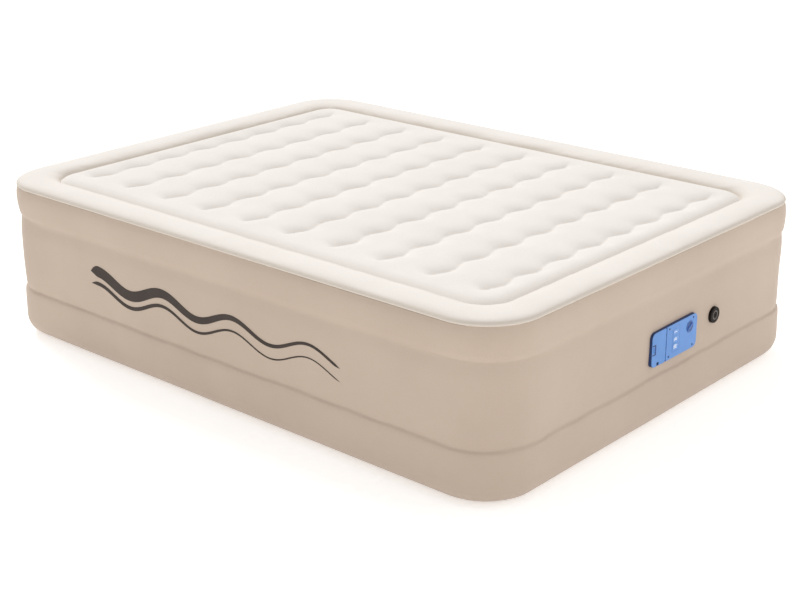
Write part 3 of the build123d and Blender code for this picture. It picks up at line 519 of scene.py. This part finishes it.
def wall_inset(u, z):
    """How far the inflated wall's face is inside the footprint."""
    corner = corner_closeness(u)
    crisp = 1 - SHORT_WALL_SOFTNESS * loop_frame(u)[3] ** 2 * (1 - corner)
    below = z - (LOWER_GROOVE + uneven("lower_wander", u, z * 0))
    above = z - (UPPER_GROOVE + uneven("upper_wander", u, z * 0))
    set_back = smooth((below + LOWER_STEP[0]) / LOWER_STEP[1])
    inset = MIDDLE_INSET * set_back * (1 - smooth((above + UPPER_STEP[0]) / UPPER_STEP[1]))
    inset = inset + SHELF[0] * fading(below, SHELF[1]) * (below > 0)
    inset = inset + SHARP_GROOVE[0] * crisp * fading(below, SHARP_GROOVE[1])
    inset = inset + SOFT_GROOVE[0] * (2 - crisp) * fading(below, SOFT_GROOVE[1])
    valley = VALLEY[0] + uneven("valley", u, z * 0)
    inset = inset + valley * np.exp(-((above / VALLEY[1]) ** 2))
    crease = CORNER_CREASE[0] * smooth(corner * CORNER_SPREAD)
    inset = inset + crease * fading(above, CORNER_CREASE[1])
    curl = np.clip((z - CURL_START) / (WALL_TOP - CURL_START), 0, 1) ** CURL_POWER
    inset = inset + CURL_INSET * curl
    near = [fading(d, reach) for d, reach in zip((below, above, z - WALL_TOP), PUCKER_REACHES)]
    pucker = uneven("wall_pucker", u, z) + uneven("wall_fine_pucker", u, z)
    strength = sum(share * close for share, close in zip(PUCKER_SHARES, near))
    inset = inset - PUCKER_HEIGHT * pucker * strength
    inset = inset + uneven("wall_swell", u, z)
    inset = inset + uneven("wall_slack", u + SLANT * z, z)
    folds = uneven("corner_folds", u, z)
    inset = inset + FOLD_HEIGHT * corner * folds * (1 - near[0]) * (1 - near[1])
    return np.minimum(inset, DEEPEST)


def wall_point(u, z, lift=0.0):
    """A point on the inflated wall above the floor roll, lifted off its face."""
    x, y, nx, ny = loop_frame(u)
    inset = wall_inset(u, z) - lift
    return np.stack([x - nx * inset, y - ny * inset, z + 0 * x], axis=-1)


def spaced(stops):
    """Distances along a line, from each (start, step) on to the next start, without the last."""
    values = []
    for (start, step), (end, _) in zip(stops, stops[1:]):
        values.extend(np.linspace(start, end, max(1, round((end - start) / step)), endpoint=False))
    return values


# The columns and rows of the wall's mesh, closer together round the pump and at the grooves.
COARSE, FINE, ON_SIDE, ON_ARC = 0.011, 0.0042, 0.0125, 0.0095
front_x = spaced([(-STRAIGHT_X, COARSE), (-0.105, FINE), (0.290, COARSE), (STRAIGHT_X, 0)])
steps = [ON_ARC, ON_SIDE, ON_ARC, ON_SIDE, ON_ARC, ON_SIDE, ON_ARC, 0]
columns = np.array([x + STRAIGHT_X for x in front_x] + spaced(list(zip(SIDES[1:], steps))))
roll = np.linspace(0, 1, 9)
heights = np.array(
    spaced([(FLOOR_RADIUS, 0.0075), (0.135, 0.0030), (0.185, 0.0044), (0.320, 0.0065)]
           + [(0.372, 0.0032), (0.422, 0.0065), (0.470, 0.0036), (WALL_TOP, 0)])
    + [WALL_TOP]
)


def pump_hole(x, z):
    """Distance outside the pump's plate."""
    half = PLATE_WIDTH / 2, PLATE_HEIGHT / 2
    return rounded_distance(x - PUMP_X, z - PUMP_Z, *half, PLATE_RADIUS)


def valve_hole(x, z):
    """Distance outside the valve."""
    return np.hypot(x - VALVE_X, z - VALVE_Z) - VALVE_RADIUS


def wall_skin():
    """The whole side wall, rolled under at the floor, with the pump's and the valve's holes."""
    rows = len(roll) + len(heights) - 1
    u, row = np.meshgrid(columns, np.arange(rows))
    u, row = u.ravel(), row.ravel()
    height = np.concatenate([FLOOR_RADIUS * (1 - np.cos(roll[:-1] * pi / 2)), heights])[row]
    faces = grid_faces(rows, len(columns), True)
    on_front = (u > 0.2) & (u < 2 * STRAIGHT_X - 0.2)
    x = np.where(on_front, u - STRAIGHT_X, 9.0)
    for hole in (pump_hole, valve_hole):
        faces = trim(x, height, faces, hole)
    u = np.where(on_front, x + STRAIGHT_X, u)
    px, py, nx, ny = loop_frame(u)
    rolled = row < len(roll) - 1
    inset = wall_inset(u, np.maximum(height, FLOOR_RADIUS))
    turn = roll[np.minimum(row, len(roll) - 1)] * pi / 2
    inset = inset * np.sin(turn) + np.where(rolled, FLOOR_RADIUS * (1 - np.sin(turn)), 0)
    points = np.stack([px - nx * inset, py - ny * inset, height], axis=1)
    skin = mesh_piece("wall_skin", points, faces, WALL)
    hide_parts("side_wall", "pump_patch")
    return skin


wall_skin()


# ================================================================ the rim and its weld
def ring(inset, radius, steps):
    """A rounded rectangle inside the footprint, as points at the same share of each side."""
    points = []
    centre_x, centre_y = HALF_WIDTH - inset - radius, HALF_LENGTH - inset - radius
    for quarter in range(4):
        sign_x, sign_y = (1, 1, -1, -1)[quarter], (-1, 1, 1, -1)[quarter]
        before_x, before_y = (-1, 1, 1, -1)[quarter], (-1, -1, 1, 1)[quarter]
        angle = -pi / 2 + quarter * pi / 2
        share = np.linspace(0, 1, steps[quarter % 2], endpoint=False)
        turn = angle + np.linspace(0, pi / 2, steps[2], endpoint=False)
        line_x = (before_x + (sign_x - before_x) * share) * centre_x + radius * cos(angle)
        line_y = (before_y + (sign_y - before_y) * share) * centre_y + radius * sin(angle)
        arc_x = sign_x * centre_x + radius * np.cos(turn)
        arc_y = sign_y * centre_y + radius * np.sin(turn)
        points.append(np.stack([line_x, line_y], axis=1))
        points.append(np.stack([arc_x, arc_y], axis=1))
    points = np.concatenate(points)
    points[:, 1] += BODY_Y
    return points


def rim_radius(inset):
    """The corner radius at an inset: concentric outside the crest, then easing to the crease's."""
    eased = smooth((inset - CREST_INSET) / (CREASE_INSET - CREST_INSET))
    return (CORNER - inset) * (1 - eased) + (CREASE_RADIUS + CREASE_INSET - inset) * eased


def loft(name, profile, steps, finish, shape=None):
    """A closed band through (inset, height) stations around the footprint."""
    rings = []
    for inset, z in profile:
        flat = ring(inset, rim_radius(inset), steps)
        rings.append(np.column_stack([flat, np.full(len(flat), z)]))
    points = np.concatenate(rings)
    if shape is not None:
        points = shape(points, np.repeat([p[0] for p in profile], len(rings[0])))
    return mesh_piece(name, points, grid_faces(len(profile), len(rings[0]), True), finish)


def rim_profile():
    """The rim's section as (inset, height) stations from its weld over its crest to the crease."""
    outer = []
    for turn in np.linspace(0, pi / 2, 16):
        across = (CREST_INSET - RIM_SIDE_INSET) * (1 - cos(turn)) ** RIM_OUTER_POWER
        outer.append((RIM_SIDE_INSET + across, RIM_SIDE_Z + (CREST - RIM_SIDE_Z) * sin(turn)))
    inner = []
    for share in np.linspace(0, 1, 18)[1:]:
        inset = CREST_INSET + (CREASE_INSET + RIM_OVERLAP - CREST_INSET) * share
        fall = (1 - share ** RIM_INNER_SHAPE[0]) ** RIM_INNER_SHAPE[1]
        inner.append((inset, CREASE - RIM_TUCK + (CREST - CREASE + RIM_TUCK) * fall))
    return RIM_LIP + outer + inner


def rim_shape(points, insets):
    """Soft swells along the rim and small puckers where it is welded at the crease."""
    x, y = points[:, 0], points[:, 1]
    crest = smooth((insets - 0.008) / 0.03) * smooth((CREASE_INSET - insets) / 0.03)
    around = np.arctan2(y, x * 1.33) * 1.1
    swell = uneven("rim_swell", around, insets) + uneven("rim_slack", x, y)
    pull = smooth((insets - 0.085) / 0.03) * smooth((CREASE_INSET - insets) / 0.012)
    pucker = uneven("rim_pucker", around, insets * 0)
    points[:, 2] += swell * crest - 0.0005 * crest + pucker * pull
    return points


RIM_STEPS = (110, 150, 30)
rim = loft("rim_pad", rim_profile(), RIM_STEPS, RIM, rim_shape)
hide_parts("top_rim")

# The weld bead's dark colour is painted shade under the rim's lip.
weld = loft("rim_weld", WELD_BEAD, RIM_STEPS, SEAM_SHADE)


# ================================================================ the quilted top
BEAM_LINES = [BODY_Y + (i - (BEAM_COUNT - 1) / 2) * BEAM_PITCH for i in range(BEAM_COUNT)]
TOP_X, TOP_Y = HALF_WIDTH - CREASE_INSET, HALF_LENGTH - CREASE_INSET


def top_outline(x, y):
    """Distance inside the crease, below 0 outside it."""
    return -rounded_distance(x, y - BODY_Y, TOP_X, TOP_Y, CREASE_RADIUS)


def quilt_height(x, y):
    """The height of the flocked top, puffed between its wavy weld lines."""
    phase = 2 * pi * (x - WAVE_START) / WAVE
    wave = -SWING * np.sin(phase) + uneven("weld_wander", x, y)
    apart = np.min([np.abs(y - line - wave) for line in BEAM_LINES], axis=0)
    share = np.clip(apart / (BEAM_PITCH / 2), 0, 1)
    fade = smooth((TOP_X - np.abs(x) - WELD_END) / WELD_FADE)
    depth = QUILT_DEPTH * (1 + DEPTH_WAVE * np.cos(phase)) * fade
    inside = np.maximum(top_outline(x, y), 0)
    border = puffed(np.clip(inside / BORDER_WIDTH, 0, 1), BORDER_SHAPE)
    crown = CREASE + (CROWN - CREASE) * border
    tuft = TUFT * np.cos(phase) * (1 - share) ** 2 * fade
    swell = uneven("top_swell", x, y) * smooth(inside / SWELL_START)
    pucker = uneven("top_pucker", x, y) * fading(apart, PUCKER_REACH) * fade
    channels = depth * (1 - puffed(share, CHANNEL_SHAPE)) * border
    return np.maximum(crown - channels + tuft + swell + pucker, QUILT_FLOOR)


def quilt_top():
    """The flocked top, trimmed to the rim's crease."""
    spare = 0.004
    across = np.linspace(-TOP_X - spare, TOP_X + spare, 225)
    along = np.linspace(BODY_Y - TOP_Y - spare, BODY_Y + TOP_Y + spare, 365)
    x, y = (values.ravel() for values in np.meshgrid(across, along))
    faces = grid_faces(len(along), len(across), False)
    faces = trim(x, y, faces, lambda a, b: top_outline(a, b) + 0.0012)
    points = np.stack([x, y, quilt_height(x, y)], axis=1)
    top = mesh_piece("quilt_top", points, faces, FLOCK)
    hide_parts("sleeping_surface")


quilt_top()


# ================================================================ the bottom sheet
def base_sheet():
    """The bottom sheet, dimpled up where the beams and the girth are welded to it."""
    half_x, half_y = HALF_WIDTH - FLOOR_RADIUS, HALF_LENGTH - FLOOR_RADIUS
    spare = 0.005
    across = np.linspace(-half_x - spare, half_x + spare, 120)
    along = np.linspace(BODY_Y - half_y - spare, BODY_Y + half_y + spare, 230)
    x, y = (values.ravel() for values in np.meshgrid(across, along))
    faces = grid_faces(len(along), len(across), False)

    def edge(a, b):
        return -rounded_distance(a, b - BODY_Y, half_x, half_y, CORNER - FLOOR_RADIUS)

    faces = trim(x, y, faces, edge)
    wave = -SWING * np.sin(2 * pi * (x - WAVE_START) / WAVE)
    apart = np.min([np.abs(y - line - wave) for line in BEAM_LINES], axis=0)
    girth = np.abs(top_outline(x, y))
    inside = smooth(edge(x, y) / 0.02)
    weld_reach, weld_rise, weld_end = 0.010, 0.0012, 0.57
    beams = fading(apart, weld_reach) * (np.abs(x) < weld_end)
    z = weld_rise * np.maximum(beams, fading(girth, weld_reach)) * inside
    sheet = mesh_piece("base_sheet", np.stack([x, y, z], axis=1), faces[:, ::-1], BOTTOM)
    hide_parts("bottom_sheet")


base_sheet()


# ================================================================ the wave print
INK_LIFT = 0.0005
PRINT_RUN = {"start_y": 0.551, "end_y": -0.485, "waves": 3.5, "swing": 0.021, "phase": 0.9}


def print_ribbon(name, start_y, end_y, waves, swing, phase, thick, thin, middle_z):
    """A tapering ribbon of ink that waves along the long wall that faces -X."""
    share = np.linspace(0, 1, 320)
    y = start_y + (end_y - start_y) * share
    turn = 2 * pi * waves * share + phase
    z = middle_z + swing * np.sin(turn)
    slope = swing * 2 * pi * waves * np.cos(turn) / abs(end_y - start_y)
    lean = np.hypot(1, slope)
    half = (thick + (thin - thick) * smooth(share * 1.1)) / 2
    head = np.sin(pi * np.clip(share * 14, 0, 0.5))
    tail = np.sin(pi * np.clip((1 - share) * 20, 0, 0.5))
    half = half * head * tail
    rows = []
    for side in np.linspace(-1, 1, 9):
        shift_y, shift_z = slope / lean * half * side, half * side / lean
        u = SIDES[6] + BODY_Y + STRAIGHT_Y - (y + shift_y)
        rows.append(wall_point(u, z + shift_z, INK_LIFT))
    points = np.concatenate(rows)
    ink = mesh_piece(name, points, grid_faces(len(rows), len(share), False)[:, ::-1], PRINT)


print_ribbon("print_wave_1", **PRINT_RUN, thick=0.036, thin=0.009, middle_z=0.284)
print_ribbon("print_wave_2", **PRINT_RUN, thick=0.013, thin=0.004, middle_z=0.245)


# ================================================================ small marks on the pump
def slab(name, outlines, depth, height, finish, body):
    """Raised flat shapes on the pump: closed (x, z) outlines about its middle.

    depth is how far behind the pump's foremost plane they start, and height how far they rise.
    """
    build = bmesh.new()
    for outline in outlines:
        corners = [build.verts.new((PUMP_X + x, FRONT + depth, PUMP_Z + z)) for x, z in outline]
        face = build.faces.new(corners)
        face.normal_update()
        if face.normal.y > 0:
            face.normal_flip()
        raised = bmesh.ops.extrude_face_region(build, geom=[face])
        top = [v for v in raised["geom"] if isinstance(v, bmesh.types.BMVert)]
        bmesh.ops.translate(build, vec=(0, -height, 0), verts=top)
        middle = sum((v.co for v in top), top[0].co * 0) / len(top)
        for vertex in top:
            vertex.co += (middle - vertex.co).normalized() * height * 0.5
    mesh = bpy.data.meshes.new(name)
    bmesh.ops.recalc_face_normals(build, faces=build.faces)
    build.to_mesh(mesh)
    build.free()
    mesh.materials.append(finish)
    piece = bpy.data.objects.new(name, mesh)
    scene.collection.objects.link(piece)
    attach(piece, body)
    return piece


def bar(x, z, width, height, turn=0.0):
    """A rounded bar's outline."""
    radius = min(width, height) / 2
    points = []
    for quarter in range(4):
        cx = (width / 2 - radius) * (1, -1, -1, 1)[quarter]
        cz = (height / 2 - radius) * (1, 1, -1, -1)[quarter]
        for angle in np.linspace(quarter * pi / 2, (quarter + 1) * pi / 2, 5):
            points.append((cx + radius * cos(angle), cz + radius * sin(angle)))
    across, up = cos(turn), sin(turn)
    return [(x + a * across - b * up, z + a * up + b * across) for a, b in points]


def arc_strip(x, z, inner, outer, start, end):
    """Short outlines that together make a ring or a part of one."""
    steps = max(3, round((end - start) / 0.16))
    angles = np.linspace(start, end, steps + 1)
    pieces = []
    for a, b in zip(angles, angles[1:]):
        ends = [(inner, a), (outer, a), (outer, b), (inner, b)]
        pieces.append([(x + r * cos(t), z + r * sin(t)) for r, t in ends])
    return pieces


def chevron(x, z, half, rise, thick):
    """An upward chevron's outline."""
    upper = [(x - half, z), (x, z + rise), (x + half, z)]
    return upper + [(x + half, z - thick), (x, z + rise - thick), (x - half, z - thick)]


# Positions are about the pump's middle. Faces are depths behind the pump's foremost plane.
PLATE_FACE, BUTTON_FACE, DIAL_FACE = 0.0030, 0.0022, 0.0020
LINE_RISE, MARK_RISE, ICON_RISE, CROSS_RISE = 0.00012, 0.00015, 0.00018, 0.00006

BUTTON_Z = {"soft": 0.0252, "medium": 0.0035, "firm": -0.0182}
ICON_X, ICON_PITCH, ICON_DROP = 0.0020, 0.0040, 0.0006
ICON_STROKE = {"half": 0.0075, "rise": 0.0030, "thick": 0.0024}
for count, (level, z) in enumerate(BUTTON_Z.items(), 1):
    lowest = z - ICON_PITCH * (count - 1) / 2
    strokes = [lowest + ICON_PITCH * n - ICON_DROP for n in range(count)]
    shapes = [chevron(ICON_X, stroke, **ICON_STROKE) for stroke in strokes]
    slab(f"{level}_icon", shapes, BUTTON_FACE, ICON_RISE, MARK, f"button_{level}")

FRAME_LEFT, FRAME_RIGHT, FRAME_TOP, FRAME_BOTTOM = -0.0128, 0.0238, 0.0405, -0.0330
FRAME_X, FRAME_Z, FRAME_LINE = 0.0055, 0.0037, 0.0007
TICK_X = 0.0206
button_lines = [
    bar(FRAME_X, FRAME_TOP, 0.034, FRAME_LINE),
    bar(FRAME_X, FRAME_BOTTOM, 0.034, FRAME_LINE),
    bar(FRAME_LEFT, FRAME_Z, FRAME_LINE, 0.068),
    bar(FRAME_RIGHT, FRAME_Z, FRAME_LINE, 0.068),
]
button_lines += [bar(TICK_X, z, 0.0022, 0.0009) for z in BUTTON_Z.values()]
slab("button_frame", button_lines, PLATE_FACE, LINE_RISE, LINE, "mattress")

DIAL_X, DIAL_Z = 0.076, 0.018
DIAL_RING, DIAL_TICK_RADIUS, DIAL_THROW = (0.0172, 0.0182), 0.0208, pi / 4
dial_marks = arc_strip(DIAL_X, DIAL_Z, *DIAL_RING, 0, 2 * pi)
for turn in (pi / 2 - DIAL_THROW, pi / 2, pi / 2 + DIAL_THROW):
    x, z = DIAL_X + DIAL_TICK_RADIUS * cos(turn), DIAL_Z + DIAL_TICK_RADIUS * sin(turn)
    dial_marks.append(bar(x, z, 0.0036, 0.0012, turn))
slab("dial_scale", dial_marks, PLATE_FACE, LINE_RISE, LINE, "mattress")
CRESCENT = (0.0090, 0.0125)
crescents = []
for start, end in ((60, 190), (240, 370)):
    crescents += arc_strip(DIAL_X, DIAL_Z, *CRESCENT, radians(start), radians(end))
slab("dial_crescents", crescents, DIAL_FACE, MARK_RISE, NAVY, "dial")

latch_low, latch_high = (z - PUMP_Z for z in (0.2325, 0.2595))
LATCH_X, LATCH_RIGHT, LATCH_LINE = -0.1030, -0.0960, 0.0036
# Painted shade: the navy U stands for the shadow in the notch round the latch.
latch_notch_shade_bars = [
    bar(LATCH_X, latch_high, 0.0164, LATCH_LINE),
    bar(LATCH_X, latch_low, 0.0164, LATCH_LINE),
    bar(LATCH_RIGHT, (latch_low + latch_high) / 2, LATCH_LINE, 0.0286),
]
slab("latch_notch_shade", latch_notch_shade_bars, PLATE_FACE, MARK_RISE, NAVY, "cord_door")
DOOR_LINE = 0.0008
door_border = [
    bar(-0.0815, 0.0440, 0.050, DOOR_LINE),
    bar(-0.0640, -0.0440, 0.016, DOOR_LINE),
    bar(-0.0540, 0.0, DOOR_LINE, 0.080),
]
slab("door_moulding", door_border, PLATE_FACE, MARK_RISE, BLUE, "cord_door")

for number in range(1, 5):
    low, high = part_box(f"screw_{number}")
    x, z = (low.x + high.x) / 2 - PUMP_X, (low.z + high.z) / 2 - PUMP_Z
    turns = (radians(20 * number), radians(20 * number + 90))
    # Painted shade: the black cross on each screw head stands for the shadow in its cross recess.
    cross = [bar(x, z, 0.0036, 0.0009, turn) for turn in turns]
    face = low.y - FRONT
    slab(f"screw_recess_shade_{number}", cross, face, CROSS_RISE, BLACK, "mattress")


# ================================================================ floor, light and camera
floor_mesh = bpy.data.meshes.new("floor")
FLOOR_REACH, FLOOR_DROP = 30, 0.0006
corners = [(a * FLOOR_REACH, b * FLOOR_REACH, 0) for a, b in ((-1, -1), (1, -1), (1, 1), (-1, 1))]
floor_mesh.from_pydata(corners, [], [(0, 1, 2, 3)])
floor_mesh.materials.append(FLOOR)
floor = bpy.data.objects.new("floor", floor_mesh)
floor.location.z = -FLOOR_DROP
scene.collection.objects.link(floor)

world = bpy.data.worlds.new("studio")
scene.world = world
world.use_nodes = True
background = world.node_tree.nodes["Background"].inputs
background["Color"].default_value = (1.0, 1.0, 0.985, 1)
background["Strength"].default_value = 0.72


def soft_sun(name, towards, strength, spread):
    """A wide, soft light that comes from the direction towards."""
    light = bpy.data.lights.new(name, "SUN")
    light.energy = strength
    light.angle = radians(spread)
    lamp = bpy.data.objects.new(name, light)
    x, y, z = towards
    lamp.rotation_euler = (np.arctan2(hypot(x, y), z), 0, np.arctan2(y, x) + pi / 2)
    scene.collection.objects.link(lamp)


soft_sun("key", (0.40, 0.90, 0.80), 1.95, 25)
soft_sun("fill", (0.55, -0.80, 0.45), 0.34, 60)

CAMERA_PLACE = (-3.423, -3.065, 1.857)
azimuth, elevation, tilt = radians(48.39), radians(20.67), radians(-0.41)
look = np.array([sin(azimuth) * cos(elevation), cos(azimuth) * cos(elevation), -sin(elevation)])
level = np.array([cos(azimuth), -sin(azimuth), 0.0])
upright = np.cross(level, look)
right = cos(tilt) * level + sin(tilt) * upright
up = -sin(tilt) * level + cos(tilt) * upright
lens = bpy.data.cameras.new("camera")
lens.lens = 69.52
lens.sensor_width = 36
lens.clip_end = 100
camera = bpy.data.objects.new("camera", lens)
camera.matrix_world = Matrix(
    [
        (right[0], up[0], -look[0], CAMERA_PLACE[0]),
        (right[1], up[1], -look[1], CAMERA_PLACE[1]),
        (right[2], up[2], -look[2], CAMERA_PLACE[2]),
        (0, 0, 0, 1),
    ]
)
scene.collection.objects.link(camera)
scene.camera = camera
scene.view_settings.view_transform = "Standard"
